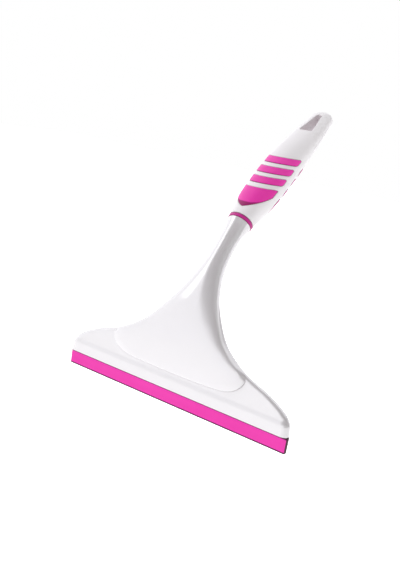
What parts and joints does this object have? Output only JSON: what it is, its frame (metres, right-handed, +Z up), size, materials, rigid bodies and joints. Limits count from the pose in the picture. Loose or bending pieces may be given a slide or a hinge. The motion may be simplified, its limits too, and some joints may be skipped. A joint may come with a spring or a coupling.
{
  "type": "window cleaning squeegee",
  "caption": "Hand squeegee with a replaceable rubber blade in a flared head, an angled neck and a shaped handle with soft grip inserts and a hanging hole.",
  "frame": {"origin": "middle of the blade's wiping edge, on the blade's mid-plane", "axes": "+X along the blade from its open end to the closed end of the channel, +Z up from the wiping edge through the head, the front with the thumb pad faces -Y, and the handle leans back towards +Y"},
  "size_m": [0.24, 0.1923, 0.2742],
  "materials": {
    "white_plastic": "glossy moulded white plastic",
    "blade_rubber": "satin pink rubber",
    "pink_rubber": "soft satin pink rubber",
    "screw_steel": "zinc plated",
    "sleeve_plastic": "plain moulded plastic"
  },
  "bodies": {
    "squeegee": {"head_front_shell": "white_plastic", "head_back_shell": "white_plastic", "cover_screws": "screw_steel", "neck_sleeve": "sleeve_plastic", "collar_ring": "pink_rubber", "thumb_pad": "pink_rubber", "palm_pad": "pink_rubber", "front_grip_bar_1": "pink_rubber", "front_grip_bar_2": "pink_rubber", "front_grip_bar_3": "pink_rubber", "back_grip_bar_1": "pink_rubber", "back_grip_bar_2": "pink_rubber", "back_grip_bar_3": "pink_rubber", "handle_front_shell": "white_plastic", "handle_back_shell": "white_plastic"},
    "blade": {"squeegee_blade": "blade_rubber"}
  },
  "joints": [
    {"name": "blade_slide", "type": "slide", "parent": "squeegee", "child": "blade", "axis": [-1, 0, 0], "range_m": [0, 0.24]}
  ]
}
